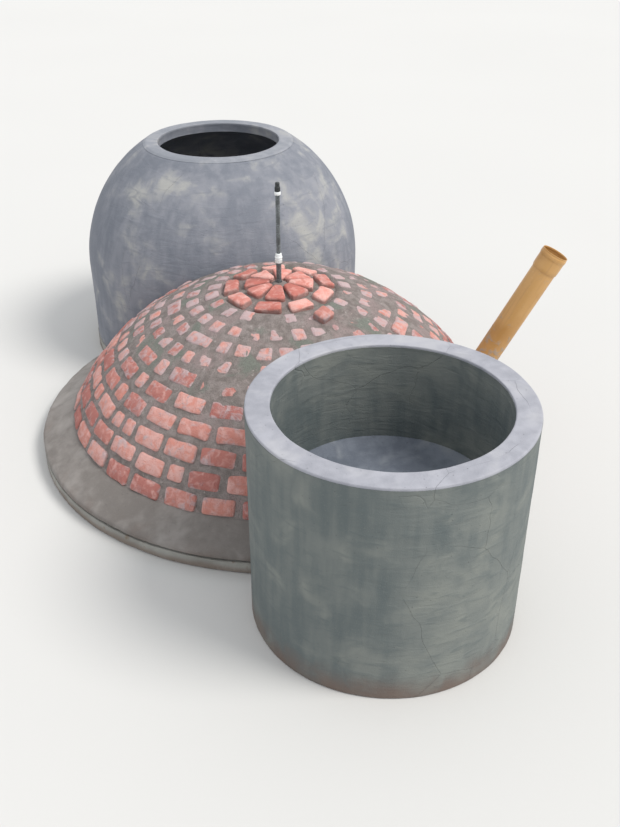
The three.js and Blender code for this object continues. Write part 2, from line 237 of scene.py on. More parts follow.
def section(corners, step):
    """A section in stretches no longer than step. A corner is (radius, height), with a third
    number where it is rounded. It closes on itself unless it starts on the axis."""
    closed = corners[0][0] > 0
    points = []
    for index, (radius, height, *rounding) in enumerate(corners):
        corner = Vector((radius, height))
        if not rounding:
            points.append(corner)
            continue
        back = Vector(corners[index - 1][:2]) - corner
        on = Vector(corners[(index + 1) % len(corners)][:2]) - corner
        start = corner + back.normalized() * rounding[0]
        end = corner + on.normalized() * rounding[0]
        for part in (0.0, 0.25, 0.5, 0.75, 1.0):
            points.append(start.lerp(corner, part).lerp(corner.lerp(end, part), part))
    fine = []
    follow = points[1:] + points[:1] if closed else points[1:]
    for point, after in zip(points, follow):
        parts = max(1, ceil((after - point).length / step))
        fine += [point.lerp(after, part / parts) for part in range(parts)]
    return fine if closed else fine + [points[-1]]


def turned(corners, step, sides, centre_y=0.0):
    """A section, anticlockwise round its solid, turned about a vertical axis."""
    points = []
    rings = []
    for radius, height in section(corners, step):
        if radius < 1e-6:
            rings.append([len(points)] * sides)
            points.append((0.0, centre_y, height))
            continue
        rings.append(range(len(points), len(points) + sides))
        for side in range(sides):
            angle = tau * side / sides
            points.append((radius * cos(angle), centre_y + radius * sin(angle), height))
    if corners[0][0] > 0:
        rings.append(rings[0])
    mesh = meshed("turned", points, skin(rings))
    mesh.validate()
    return mesh


def hand_finishing():
    """Moves a face inwards by broad waves and by fine grain, as a hand-held float leaves it.
    The mesh may carry a lift of its own, in metres, and its own outward direction."""
    steps = Steps("hand_finished_face", {
        "Wave depth": "Float", "Wave size": "Float", "Grain depth": "Float", "Grain size": "Float",
    })
    depth = steps.carried("lift", "FLOAT")["Attribute"]
    for kind in ("Wave", "Grain"):
        depth = steps.math("SUBTRACT", depth, steps.math(
            "MULTIPLY", steps.unevenness(kind, 2.0)["Fac"], steps.given[f"{kind} depth"]))
    outwards = steps.carried("outwards")
    way = steps.add("GeometryNodeSwitch", {
        "Switch": outwards["Exists"], "True": outwards["Attribute"],
        "False": steps.add("GeometryNodeInputNormal").outputs[0]}, input_type="VECTOR")
    steps.end(steps.moved(steps.given["Geometry"], way.outputs[0], depth))
    return steps


HAND_FINISHING = hand_finishing()


def floated(name, mesh, finish, wave, grain):
    """A mesh with a hand-finished face. Wave and grain are each a depth and a size."""
    return HAND_FINISHING.run(name, mesh, {
        "Wave depth": wave[0], "Wave size": wave[1],
        "Grain depth": grain[0], "Grain size": grain[1], "Finish": finish,
    })


def keep_above_ground(piece):
    """Flattens what the float left lower than the ground."""
    for corner in piece.data.vertices:
        corner.co.z = max(corner.co.z, 0.0)


def hand_in(piece, slot, *nodes):
    """Fixes a finished piece to the plant, in place of these plain nodes."""
    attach(piece, "root")
    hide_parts(*nodes)


def concrete_finish():
    finish = Finish("cast_concrete", (0.26, 0.255, 0.235))
    pale, damp_earth_and_shade, rust = (0.36, 0.355, 0.33), (0.175, 0.125, 0.1), (0.2, 0.15, 0.11)
    tone = finish.clouds(0.28, 4.0)
    foot = finish.sum((finish.height(), 1.0), (tone, 0.06))
    finish.coat(pale, tone, 0.35, 0.65)
    # Darker towards the ground: damp earth, and painted shade where the slab meets the ground
    finish.coat(damp_earth_and_shade, foot, 0.085, 0.045, 0.65)
    finish.coat(rust, finish.clouds(0.07), 0.62, 0.78)
    relief = finish.sum((finish.pits(0.007), 0.5), (finish.clouds(0.012, 2.0), 0.9))
    return finish.lay(finish.band(tone, -0.6, 0.4), relief, 0.003)


CONCRETE = concrete_finish()
SLAB_RADIUS, _, SLAB_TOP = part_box("digester_floor_slab")[1]

floor_slab = floated("slab_of_digester", turned([
    (0.0, 0.0), (SLAB_RADIUS, 0.0, 0.01), (SLAB_RADIUS, SLAB_TOP, 0.014), (0.0, SLAB_TOP),
], step=0.05, sides=320), CONCRETE, wave=(0.012, 0.22), grain=(0.003, 0.03))
keep_above_ground(floor_slab)
hand_in(floor_slab, "concrete", "digester_floor_slab")

# Chamber floor slab and lintel
# The chamber stands on a crescent of the same concrete, and a cast bar carries the dome over the
# passage between the two. Both keep their solids' shape.
for node in ("chamber_floor_slab", "passage_lintel"):
    frame["nodes"][node].data.materials.clear()
    frame["nodes"][node].data.materials.append(CONCRETE)

# Mortar of the dome
# Thick cement mortar holds the bricks. Low down it is struck a little behind their faces, and
# higher up more and more of it is smeared over them, until it is a skin on the far side.
plug_low, plug_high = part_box("crown_mortar_plug")
PLUG_RADIUS = plug_high.x
CROWN_TOP = plug_high.z
DOME_WALL = plug_high.z - plug_low.z
DOME_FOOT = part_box("dome_lower_courses")[1].x
DOME_RISE = CROWN_TOP - SLAB_TOP
SPHERE = (DOME_FOOT ** 2 + DOME_RISE ** 2) / (2 * DOME_RISE)
SPHERE_Z = CROWN_TOP - SPHERE
CENTRE = Vector((0.0, 0.0, SPHERE_Z))
CROWN_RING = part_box("crown_outer_brick_ring")[1].x
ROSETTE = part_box("crown_inner_brick_ring")[1].x

chamber_low, chamber_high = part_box("chamber_wall_back")
CHAMBER_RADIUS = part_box("chamber_top_right")[1].x
CHAMBER_Y = chamber_high.y - CHAMBER_RADIUS
CHAMBER_WALL = 0.11
CHAMBER_INNER = CHAMBER_RADIUS - CHAMBER_WALL

# How high the mortar stands against the bricks' faces: low at the foot, higher in patches
# towards the crown and on the far right, low at the crown. In the chamber, plaster hides them.
MORTAR_LOW = -0.0058
SMEAR_START = 0.3
SMEAR_SPAN = CROWN_TOP - 0.35
SMEAR_RISE = 0.0062
SMEAR_PATCH = 0.3
FINE_PATCH = SMEAR_PATCH * 0.35
SMEAR_DEPTH = 0.0075
SMEARED_SIDE = radians(35)
SIDE_SMEAR = 0.004
CROWN_DEEP = -0.026
CROWN_BLEND = 0.035
PLASTER = 0.012
PLASTER_EDGE = 0.02
MORTAR_GRID = 0.0095


def angle_at(radius):
    """Angle off the vertical at which the dome has this radius."""
    return asin(radius / SPHERE)


def on_dome(angle, azimuth, reach=SPHERE):
    """A point at this reach from the centre of the dome's sphere."""
    flat = reach * sin(angle)
    return CENTRE + Vector((flat * cos(azimuth), flat * sin(azimuth), reach * cos(angle)))


def arc(centre_z, reach, first, last, steps):
    """Corners of a section on an arc, from one angle off the vertical to another."""
    angles = [first + (last - first) * step / steps for step in range(steps + 1)]
    return [(reach * sin(angle), centre_z + reach * cos(angle)) for angle in angles]


def in_chamber(point, margin):
    """Whether a point is inside the chamber's wall, where the dome is plastered over."""
    return hypot(point.x, point.y - CHAMBER_Y) < CHAMBER_INNER - margin


def kept(value):
    """A value kept between 0 and 1."""
    return min(1.0, max(0.0, value))


def mortar_lift(point):
    """Height of the mortar over the dome's sphere at a point on it."""
    rise = kept((point.z - SMEAR_START) / SMEAR_SPAN)
    patch = noise.noise(point / SMEAR_PATCH) + 0.5 * noise.noise(point / FINE_PATCH)
    side = 0.5 + 0.5 * cos(atan2(point.y, point.x) - SMEARED_SIDE)
    lift = MORTAR_LOW + SMEAR_RISE * rise + SMEAR_DEPTH * (0.25 + rise) * patch
    lift += SIDE_SMEAR * rise * side ** 2
    clean = kept((CROWN_RING + CROWN_BLEND - hypot(point.x, point.y)) / CROWN_BLEND)
    lift += (CROWN_DEEP - lift) * clean ** 2
    if in_chamber(point, PLASTER_EDGE):
        lift = max(lift, PLASTER)
    return min(lift, PLASTER)


def carry(mesh, label, values):
    """Gives each point of a mesh its number, or its three numbers."""
    single = isinstance(values[0], float)
    flat = values if single else [part for value in values for part in value]
    mark = mesh.attributes.new(label, "FLOAT" if single else "FLOAT_VECTOR", "POINT")
    mark.data.foreach_set("value" if single else "vector", flat)


def mortar_band(low_angle, high_angle):
    """The dome's mortar between two angles off the vertical, with its lift at each point."""
    inside = SPHERE - DOME_WALL
    foot = min(low_angle, acos((SLAB_TOP - SPHERE_Z) / inside))
    rows = ceil((low_angle - high_angle) * SPHERE / MORTAR_GRID)
    mesh = turned([
        *arc(SPHERE_Z, SPHERE, low_angle, high_angle, rows),
        *arc(SPHERE_Z, inside, high_angle, foot, 8),
    ], step=0.05, sides=880)
    lifts, ways = [], []
    for corner in mesh.vertices:
        way = corner.co - CENTRE
        outside = way.length > SPHERE - 0.001
        lifts.append(mortar_lift(corner.co) if outside else 0.0)
        ways.append(way.normalized() * (1 if outside else -1))
    carry(mesh, "lift", lifts)
    carry(mesh, "outwards", ways)
    return mesh


def mortar_finish():
    finish = Finish("dome_mortar", (0.19, 0.163, 0.153))
    dry, green, brick_dust = (0.29, 0.252, 0.242), (0.185, 0.2, 0.175), (0.31, 0.242, 0.238)
    lime, pore = (0.38, 0.35, 0.33), (0.1, 0.09, 0.085)
    tone = finish.clouds(0.2, 4.0, 0.3)
    patch = finish.clouds(0.05, 3.0, 0.4)
    sand = finish.pits(0.0045)
    finish.coat(dry, patch, 0.33, 0.68)
    finish.coat(green, tone, 0.54, 0.64, finish.band(finish.height(), 0.55, 0.85))
    finish.coat(brick_dust, tone, 0.46, 0.34, 0.7)
    finish.coat(lime, finish.clouds(0.03), 0.64, 0.76)
    finish.coat(pore, sand, 0.55, 0.75, 0.5)
    relief = finish.sum((finish.clouds(0.006), 0.9), (sand, 0.4), (patch, 1.0))
    return finish.lay(finish.band(tone, -1.6, 0.6), relief, 0.006)


MORTAR = mortar_finish()
WELD_REACH = 0.00002


def cut(piece, *tools):
    """Takes solid shapes out of a piece, and clears the shapes away."""
    for tool in tools:
        modifier = piece.modifiers.new("cut", "BOOLEAN")
        modifier.operation = "DIFFERENCE"
        modifier.solver = "EXACT"
        modifier.object = tool
    piece.modifiers.new("weld", "WELD").merge_threshold = WELD_REACH
    settle(piece)
    for tool in tools:
        bpy.data.objects.remove(tool)


# Where the inlet pipe's open end is, and the turn that leans it outwards
mouth = next(mount for mount in frame["record"]["mounts"] if mount["name"] == "inlet_mouth")
lean = Vector(mouth["axis"]).to_track_quat("Z", "Y").to_matrix().to_4x4()
INLET = Matrix.Translation(mouth["pos_m"]) @ lean
INLET_RADIUS = 0.08
DRILL_RADIUS = INLET_RADIUS - 0.0025
DRILL_REACH = 1.6


def inlet_drill():
    """A round bar along the inlet pipe, to drill its tight hole with."""
    bar = turned([
        (0.0, -DRILL_REACH), (DRILL_RADIUS, -DRILL_REACH), (DRILL_RADIUS, 0.0), (0.0, 0.0),
    ], step=2.0, sides=48)
    bar.transform(INLET)
    return placed("drill", bar)


PASSAGE_HALF = 0.31
PASSAGE_ENDS = (0.7, 1.7)
PASSAGE_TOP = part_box("passage_lintel")[0].z


def passage_block():
    """The way from the dome to the chamber as a plain block, to cut with."""
    corners = [(x, y, z) for x in (-PASSAGE_HALF, PASSAGE_HALF) for y in PASSAGE_ENDS
               for z in (0.0, PASSAGE_TOP)]
    faces = [(0, 1, 3, 2), (4, 6, 7, 5), (0, 4, 5, 1), (2, 3, 7, 6), (0, 2, 6, 4), (1, 5, 7, 3)]
    return placed("passage", meshed("passage", corners, faces))


# Courses of the dome, and those at which its lower and middle bands end
COURSES = 11
LOWER_END = 4
MIDDLE_END = 8
FOOT_ANGLE = angle_at(DOME_FOOT)
COURSE_ANGLE = (FOOT_ANGLE - angle_at(CROWN_RING)) / COURSES
LOWER_TOP = FOOT_ANGLE - LOWER_END * COURSE_ANGLE
MIDDLE_TOP = FOOT_ANGLE - MIDDLE_END * COURSE_ANGLE

QUARTERS = ("right", "back", "left", "front")
MIDDLE_NODES = [f"dome_middle_courses_{side}" for side in QUARTERS]
UPPER_NODES = [f"dome_upper_courses_{side}" for side in QUARTERS]
for name, low_angle, high_angle, cutters, nodes in (
    ("mortar_low_on_dome", FOOT_ANGLE, LOWER_TOP, [passage_block, inlet_drill],
     ["dome_lower_courses"]),
    ("mortar_midway_on_dome", LOWER_TOP, MIDDLE_TOP, [passage_block], MIDDLE_NODES),
    ("mortar_high_on_dome", MIDDLE_TOP, angle_at(PLUG_RADIUS), [], UPPER_NODES),
):
    band = floated(name, mortar_band(low_angle, high_angle), MORTAR,
                   wave=(0.005, 0.06), grain=(0.002, 0.02))
    if cutters:
        cut(band, *(cutter() for cutter in cutters))
    hand_in(band, "mortar", *nodes)

# Bricks of the dome
# Fired clay bricks, laid flat round the dome course by course in thick joints. The low courses
# are mostly whole bricks, the high ones mostly halves, and no two lie quite alike.
BRICK_LENGTH = 0.218
HALF_LENGTH = 0.106
BRICK_HEIGHT = 0.112
BRICK_DEPTH = 0.098
JOINT = 0.024
TIGHT_JOINT = JOINT * 0.7
HALF_SHARE = [0.0, 0.0, 0.05, 0.15, 0.3, 0.5, 0.65, 0.8, 0.9, 1.0, 1.0]
# A block from its back to its worn face: how far in, at which level, how near an edge that is
BLOCK_RINGS = ((0.0, -BRICK_DEPTH, 1.0), (0.0, -0.02, 1.0), (0.0035, -0.0065, 0.8),
               (0.014, -0.0008, 0.3))
FACE_BULGE = 0.0012
# What the mason's hand does: the sizes that bricks are cut to, how far off they lie, and how
# much cement is left on them
SMALLER_UP = 0.17
SIZES = (0.92, 1.03)
SLIP = 0.003
COURSE_WAVE = 0.0025
DUSTIER_UP = 1.1
DUST = (-0.5, 0.05)
MASON = random.Random(11)

rim_low, rim_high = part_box("tank_rim")
TANK_RADIUS = rim_high.x
TANK_Y = (rim_low.y + rim_high.y) / 2
TANK_SKIRT = 0.05
PIPE_SKIRT = 0.015


def brick_block(length, height, narrow=1.0, corner=0.018):
    """One worn brick with its face up. Its end towards the crown is narrow times as wide. Each
    point carries how near the edges it is."""
    outline = []
    for x, y, start in ((-1, -1, 180), (1, -1, 270), (1, 1, 0), (-1, 1, 90)):
        for turn in (0, 45, 90):
            angle = radians(start + turn)
            outline.append((x * (length / 2 - corner) + corner * cos(angle),
                            y * (height / 2 - corner) + corner * sin(angle)))
        if x == y:
            outline += [(x * length / 6, y * height / 2), (-x * length / 6, y * height / 2)]
    points, edge, rings = [], [], []
    for inset, level, near in BLOCK_RINGS:
        rings.append(range(len(points), len(points) + len(outline)))
        for x, y in outline:
            taper = 1 + (narrow - 1) * (y / height + 0.5)
            points.append((x * (1 - 2 * inset / length) * taper,
                           y * (1 - 2 * inset / height), level))
            edge.append(near)
    # The face rises to two points, one for each half of the outline
    left, right = len(points), len(points) + 1
    rings.append([left] * 4 + [right] * 8 + [left] * 4)
    points += [(-length / 5, 0.0, FACE_BULGE), (length / 5, 0.0, FACE_BULGE)]
    mesh = meshed("block", points, [tuple(reversed(rings[0])), *skin(rings)])
    carry(mesh, "edge", [*edge, 0.0, 0.0])
    return placed("block", mesh)


def bricklaying():
    """Sets a block at each point, with its turn and size, then wears its shape and chips it."""
    steps = Steps("bricks_in_mortar", {
        "Block": "Object", "Wear depth": "Float", "Wear size": "Float",
        "Chip depth": "Float", "Chip size": "Float",
    })
    shape = steps.add("GeometryNodeObjectInfo", {"Object": steps.given["Block"]})
    turn = steps.add("FunctionNodeEulerToRotation", {0: steps.carried("turn")["Attribute"]})
    laid = steps.add("GeometryNodeInstanceOnPoints", {
        "Points": steps.given["Geometry"], "Instance": shape.outputs["Geometry"],
        "Rotation": turn.outputs[0], "Scale": steps.carried("size")["Attribute"],
    })
    bricks = steps.add("GeometryNodeRealizeInstances", {"Geometry": laid.outputs[0]}).outputs[0]
    for kind in ("Wear", "Chip"):
        way = steps.add("ShaderNodeVectorMath", {
            0: steps.unevenness(kind, 1.0)["Color"], 1: [0.5] * 3}, operation="SUBTRACT")
        bricks = steps.moved(bricks, way.outputs[0], steps.given[f"{kind} depth"])
    steps.end(bricks)
    return steps


BRICKLAYING = bricklaying()


def slip(most):
    """How far the mason's hand was off, this way or that."""
    return MASON.uniform(-most, most)


def seed(angle, azimuth, proud, size, dust, spread=0.03, twist=0.0):
    """Where a brick goes, with its face at this angle off the vertical, and its turn, size, tint
    and film of cement."""
    outwards = (on_dome(angle, azimuth) - CENTRE).normalized()
    along = Vector((-sin(azimuth), cos(azimuth), 0.0))
    turn = Matrix((along, outwards.cross(along), outwards)).transposed().to_4x4()
    loose = Euler([slip(spread) for _ in range(3)]).to_matrix().to_4x4()
    turn = turn @ Matrix.Rotation(twist, 4, "Z") @ loose
    return {"place": on_dome(angle, azimuth, SPHERE + proud), "turn": turn.to_euler(),
            "size": size, "tint": MASON.random(), "dust": dust}


def lay_bricks(name, finish, *kinds):
    """Lays each kind of block on its seeds, and makes one piece of all the bricks."""
    pieces = []
    for seeds, block in kinds:
        mesh = meshed("seeds", [each["place"] for each in seeds])
        for label in ("turn", "size", "tint", "dust"):
            carry(mesh, label, [each[label] for each in seeds])
        pieces.append(BRICKLAYING.run(name, mesh, {
            "Block": block, "Wear depth": 0.02, "Wear size": 0.1,
            "Chip depth": 0.009, "Chip size": 0.028, "Finish": finish,
        }))
    bricks = pieces[0]
    if len(pieces) > 1:
        with bpy.context.temp_override(active_object=bricks, selected_editable_objects=pieces):
            bpy.ops.object.join()
    return bricks


def course_lengths(around, half_share):
    """Bricks of one course in order, and the joint that lets them close the ring."""
    lengths = []
    while sum(lengths) + JOINT * len(lengths) < around - HALF_LENGTH:
        lengths.append(HALF_LENGTH if MASON.random() < half_share else BRICK_LENGTH)
    if sum(lengths) + TIGHT_JOINT * len(lengths) > around:
        lengths[-1] = HALF_LENGTH
    return lengths, (around - sum(lengths)) / len(lengths)


def clear_of_neighbours(point, reach):
    """Whether a brick of this half length is outside the tank, the chamber and the pipe."""
    local = INLET.inverted() @ point
    return (hypot(point.x, point.y - TANK_Y) >= TANK_RADIUS - TANK_SKIRT - reach / 2
            and not in_chamber(point, -CHAMBER_WALL / 2 - reach / 2)
            and hypot(local.x, local.y) > INLET_RADIUS + PIPE_SKIRT + reach * 0.75)


def lay_courses(first, last):
    """Seeds of the whole and half bricks in these courses, smaller and more smeared higher up."""
    whole, half = [], []
    for course in range(first, last):
        angle = FOOT_ANGLE - (course + 0.5) * COURSE_ANGLE
        radius = SPHERE * sin(angle)
        rise = (course + 0.5) / COURSES
        small = 1.0 - SMALLER_UP * rise
        lengths, joint = course_lengths(tau * radius, HALF_SHARE[course])
        azimuth = MASON.uniform(0.0, tau)
        for length in lengths:
            middle = azimuth + (length / 2) / radius
            azimuth += (length + joint) / radius
            size = (small * MASON.uniform(*SIZES), small * MASON.uniform(*SIZES), 1.0)
            level = angle + COURSE_WAVE * sin(3 * middle + course) + slip(SLIP)
            proud = slip(SLIP)
            dust = kept(rise * DUSTIER_UP + MASON.uniform(*DUST))
            if clear_of_neighbours(on_dome(level, middle), length / 2):
                seeds = whole if length == BRICK_LENGTH else half
                seeds.append(seed(level, middle, proud, size, dust))
    return whole, half


def brick_finish(name, deep, warm, pale, film, film_most):
    """Fired clay: per-brick tint, mottled pale and dark, with a film of cement left on it."""
    finish = Finish(name, deep)
    grime = (0.15, 0.11, 0.1)
    tint, edge, dust = (
        finish.add("ShaderNodeAttribute", attribute_name=label).outputs["Fac"]
        for label in ("tint", "edge", "dust"))
    mottle = finish.clouds(0.045, 4.0, 0.6)
    fine = finish.clouds(0.008)
    smear = finish.clouds(0.06, 4.0, 0.9)
    finish.coat(warm, tint, 0.1, 0.8)
    finish.coat(pale, finish.sum((mottle, 1.0), (tint, 0.25)), 0.5, 0.85)
    finish.coat(deep, fine, 0.58, 0.72, 0.6)
    cement = finish.sum((smear, 1.0), (dust, 0.34), (edge, 0.13), (fine, 0.14))
    cover = finish.band(cement, 0.64, 0.92, film_most)
    finish.over(film, cover)
    finish.coat(grime, edge, 0.75, 1.0, 0.55)
    relief = finish.sum((fine, 0.9), (finish.pits(0.006), 0.5), (cover, 0.7), (mottle, 0.8))
    return finish.lay(finish.band(mottle, -1.8, 0.7), relief, 0.005)


BRICK = brick_finish(
    "dome_brick", (0.4, 0.15, 0.13), (0.58, 0.245, 0.2), (0.63, 0.365, 0.335),
    (0.47, 0.375, 0.39), film_most=0.9)
PROUD_RADIUS = 0.47
PROUD_AZIMUTH = radians(-72)
whole_block = brick_block(BRICK_LENGTH, BRICK_HEIGHT)
half_block = brick_block(HALF_LENGTH, BRICK_HEIGHT)
# The collar hides the lowest course
for name, first, last, nodes in (
    ("bricks_low_on_dome", 1, LOWER_END, ["dome_lower_courses"]),
    ("bricks_midway_on_dome", LOWER_END, MIDDLE_END, MIDDLE_NODES),
    ("bricks_high_on_dome", MIDDLE_END, COURSES, UPPER_NODES),
):
    whole, half = lay_courses(first, last)
    if last == COURSES:
        # One half brick was set on its end near the crown, and still stands proud
        half.append(seed(angle_at(PROUD_RADIUS), PROUD_AZIMUTH, proud=0.045,
                         size=(1.0, 0.85, 1.0), dust=0.0, spread=0.05, twist=0.3))
    hand_in(lay_bricks(name, BRICK, (whole, whole_block), (half, half_block)), "brick", *nodes)
for block in (whole_block, half_block):
    bpy.data.objects.remove(block)

# Crown of the dome
# The last opening is closed by a ring of clean bricks and, inside it, a rosette of tapered ones
# that point at the gas pipe. They are brighter, because no mortar is smeared on them.
CROWN_BRICK = brick_finish(
    "crown_brick", (0.5, 0.165, 0.135), (0.7, 0.27, 0.225), (0.76, 0.43, 0.385),
    (0.62, 0.5, 0.48), film_most=0.4)
RING_BRICKS = 9
RING_GAP = 0.026
ROSETTE_GAP = 0.018
RING_MIDDLE = (CROWN_RING + ROSETTE) / 2
PETALS = 8
PETAL_GAP = 0.034
PETAL_LAP = 0.012
PETAL_REACH = ROSETTE - PLUG_RADIUS + PETAL_LAP


def crown_bricks(name, node, block, radius, count, start, off, wide, high, proud, dust, spread):
    """A ring of bricks round the crown, spaced evenly but for the mason's hand."""
    seeds = []
    for index in range(count):
        azimuth = tau * (index + start + slip(off)) / count
        size = (MASON.uniform(*wide), MASON.uniform(*high), 1.0)
        lift = MASON.uniform(0.0, proud)
        seeds.append(seed(angle_at(radius), azimuth, lift, size, dust, spread))
    hand_in(lay_bricks(name, CROWN_BRICK, (seeds, block)), "fresh_brick", node)
    bpy.data.objects.remove(block)


crown_bricks("bricks_of_crown_ring", "crown_outer_brick_ring", brick_block(
    tau * RING_MIDDLE / RING_BRICKS - RING_GAP, CROWN_RING - ROSETTE - ROSETTE_GAP, narrow=0.86),
    RING_MIDDLE, RING_BRICKS, start=0.0, off=0.04, wide=(0.84, 0.98), high=(0.88, 0.98),
    proud=0.005, dust=0.25, spread=0.06)
crown_bricks("bricks_of_rosette", "crown_inner_brick_ring", brick_block(
    tau * ROSETTE / PETALS - PETAL_GAP, PETAL_REACH, narrow=0.3, corner=0.026),
    ROSETTE - PETAL_LAP - PETAL_REACH / 2, PETALS, start=0.5, off=0.03, wide=(0.84, 0.95),
    high=(0.86, 0.96), proud=0.006, dust=0.1, spread=0.05)

# Mortar plug
# A cone of mortar packed by hand round the foot of the gas pipe, where the rosette leaves a
# star-shaped hole.
stub_low, stub_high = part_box("gas_pipe_stub")
STUB_RADIUS = stub_high.x
PLUG_FOOT = CROWN_TOP - DOME_WALL
CONE_FOOT = CROWN_TOP - 0.03
CONE_TOP_RADIUS = 0.034
plug = floated("plug_round_gas_pipe", turned([
    (STUB_RADIUS, PLUG_FOOT), (PLUG_RADIUS, PLUG_FOOT, 0.008), (PLUG_RADIUS, CONE_FOOT, 0.01),
    (CONE_TOP_RADIUS, CROWN_TOP - 0.002, 0.01), (STUB_RADIUS, CROWN_TOP),
], step=0.006, sides=96), MORTAR, wave=(0.01, 0.04), grain=(0.002, 0.009))
hand_in(plug, "mortar", "crown_mortar_plug")

# Mortar collar
# A sloped band of mortar, floated by hand, seals the foot of the dome to the slab.
COLLAR_EDGE = 0.04
COLLAR_REACH = 0.06
COLLAR_LAP = 0.014
COLLAR_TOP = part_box("digester_foot_collar")[1].z
COLLAR_RADIUS = sqrt(SPHERE ** 2 - (COLLAR_TOP - SPHERE_Z) ** 2)
BLOCK_FOOT = -0.2


def digester_block(inset):
    """The dome and its slab as one solid, this much smaller, to cut neighbours to."""
    return placed("digester_block", turned([
        (0.0, BLOCK_FOOT), (DOME_FOOT - inset, BLOCK_FOOT),
        *arc(SPHERE_Z, SPHERE - inset, FOOT_ANGLE, 0.0, 40),
    ], step=1.0, sides=160))


def render_finish(name, damp, dry, bloom, bloom_share, crack_share, foot=0.0):
    """Floated cement render: damp and dry patches, lime bloom, float marks, pin holes, hairlines,
    and earth splashed on its foot, darkened there with painted shade."""
    finish = Finish(name, damp)
    crack, hole, soil_and_shade = (0.05, 0.055, 0.055), (0.06, 0.065, 0.07), (0.165, 0.105, 0.08)
    tone = finish.clouds(0.75, 3.0, 0.3)
    patch = finish.clouds(0.16, 5.0, 0.5)
    strokes = finish.clouds(0.16, 4.0, 0.8, finish.stretched(1.0, 1.0, 4.0))
    runs = finish.clouds(0.3, 3.0, 0.2, finish.stretched(5.0, 5.0, 0.8))
    grain = finish.clouds(0.006)
    wet = finish.sum((tone, 0.6), (runs, 0.3), (patch, 0.2))
    finish.coat(dry, wet, 0.44, 0.66)
    finish.coat(bloom, finish.sum((patch, 0.6), (tone, 0.5)), 0.56, 0.74, bloom_share)
    finish.coat(damp, strokes, 0.52, 0.7, 0.45)
    finish.coat(dry, grain, 0.55, 0.75, 0.5)
    cracks = finish.hairlines(0.62, 0.0026, 0.12, finish.band(tone, 0.5, 0.6))
    finish.over(crack, finish.math("MULTIPLY", cracks, crack_share))
    holes = finish.band(finish.pits(0.035), 0.09, 0.02)
    finish.over(hole, finish.math("MULTIPLY", holes, 0.55))
    # The foot: earth dust, darkened further with painted shade where it meets the ground
    if foot:
        reach = finish.sum((finish.height(), 1.0), (patch, foot), (grain, foot * 0.3))
        finish.coat(soil_and_shade, reach, foot * 1.25, foot * 0.45, 0.75)
    relief = finish.sum((strokes, 1.1), (grain, 0.22), (patch, 0.7), (holes, -0.5), (cracks, -0.4))
    return finish.lay(finish.band(wet, -0.9, 1.1), relief, 0.005)


FLOATED_MORTAR = render_finish(
    "floated_mortar", (0.165, 0.15, 0.14), (0.25, 0.232, 0.22), (0.33, 0.31, 0.295),
    bloom_share=0.6, crack_share=0.1, foot=0.24)
collar = floated("collar_round_foot", turned([
    (DOME_FOOT - COLLAR_REACH, SLAB_TOP), (SLAB_RADIUS, SLAB_TOP, 0.014),
    (SLAB_RADIUS, SLAB_TOP + COLLAR_EDGE, 0.022), (COLLAR_RADIUS, COLLAR_TOP, 0.018),
    (COLLAR_RADIUS - COLLAR_REACH, COLLAR_TOP),
], step=0.014, sides=500), FLOATED_MORTAR, wave=(0.014, 0.16), grain=(0.0012, 0.018))
cut(collar, digester_block(COLLAR_LAP), passage_block())
hand_in(collar, "mortar", "digester_foot_collar")

# Open tank
# Block work on a ring foundation filled with rubble, rendered with cement and floated smooth. A
# thin paler screed makes the top flat, with its arrises rounded by the trowel.
TANK_RENDER = render_finish(
    "tank_render", (0.1, 0.122, 0.125), (0.168, 0.185, 0.177), (0.25, 0.262, 0.235),
    bloom_share=0.45, crack_share=0.12, foot=0.3)
SCREED = render_finish(
    "rim_screed", (0.28, 0.288, 0.33), (0.375, 0.382, 0.43), (0.46, 0.462, 0.485),
    bloom_share=0.6, crack_share=0.1)
FLOOR_RENDER = render_finish(
    "tank_floor_render", (0.125, 0.145, 0.185), (0.2, 0.225, 0.27), (0.3, 0.32, 0.34),
    bloom_share=0.6, crack_share=0.1)
TANK_WAVE = (0.008, 0.3)
TANK_GRAIN = (0.0009, 0.03)
TANK_WALL = 0.13
TANK_INNER = TANK_RADIUS - TANK_WALL
TANK_TOP = rim_high.z
SCREED_FOOT = TANK_TOP - 0.016
SCREED_KEY = 0.012
SCREED_INSET = 0.002
WALL_LAP = 0.016

tank_wall = floated("wall_of_tank", turned([
    (TANK_INNER, 0.0), (TANK_RADIUS, 0.0, 0.008), (TANK_RADIUS, SCREED_FOOT),
    (TANK_INNER, SCREED_FOOT),
], step=0.02, sides=260, centre_y=TANK_Y), TANK_RENDER, TANK_WAVE, TANK_GRAIN)
keep_above_ground(tank_wall)
cut(tank_wall, digester_block(WALL_LAP))
hand_in(tank_wall, "render", "tank_foundation_wall", "tank_rim",
        *(f"tank_wall_{side}" for side in QUARTERS))

tank_rim = floated("screed_on_tank_rim", turned([
    (TANK_INNER + SCREED_INSET, SCREED_FOOT - SCREED_KEY),
    (TANK_RADIUS - SCREED_INSET, SCREED_FOOT - SCREED_KEY),
    (TANK_RADIUS, SCREED_FOOT), (TANK_RADIUS, TANK_TOP, 0.013),
    (TANK_INNER, TANK_TOP, 0.013), (TANK_INNER, SCREED_FOOT),
], step=0.01, sides=320, centre_y=TANK_Y), SCREED, TANK_WAVE, TANK_GRAIN)
hand_in(tank_rim, "pale_render", "tank_rim")

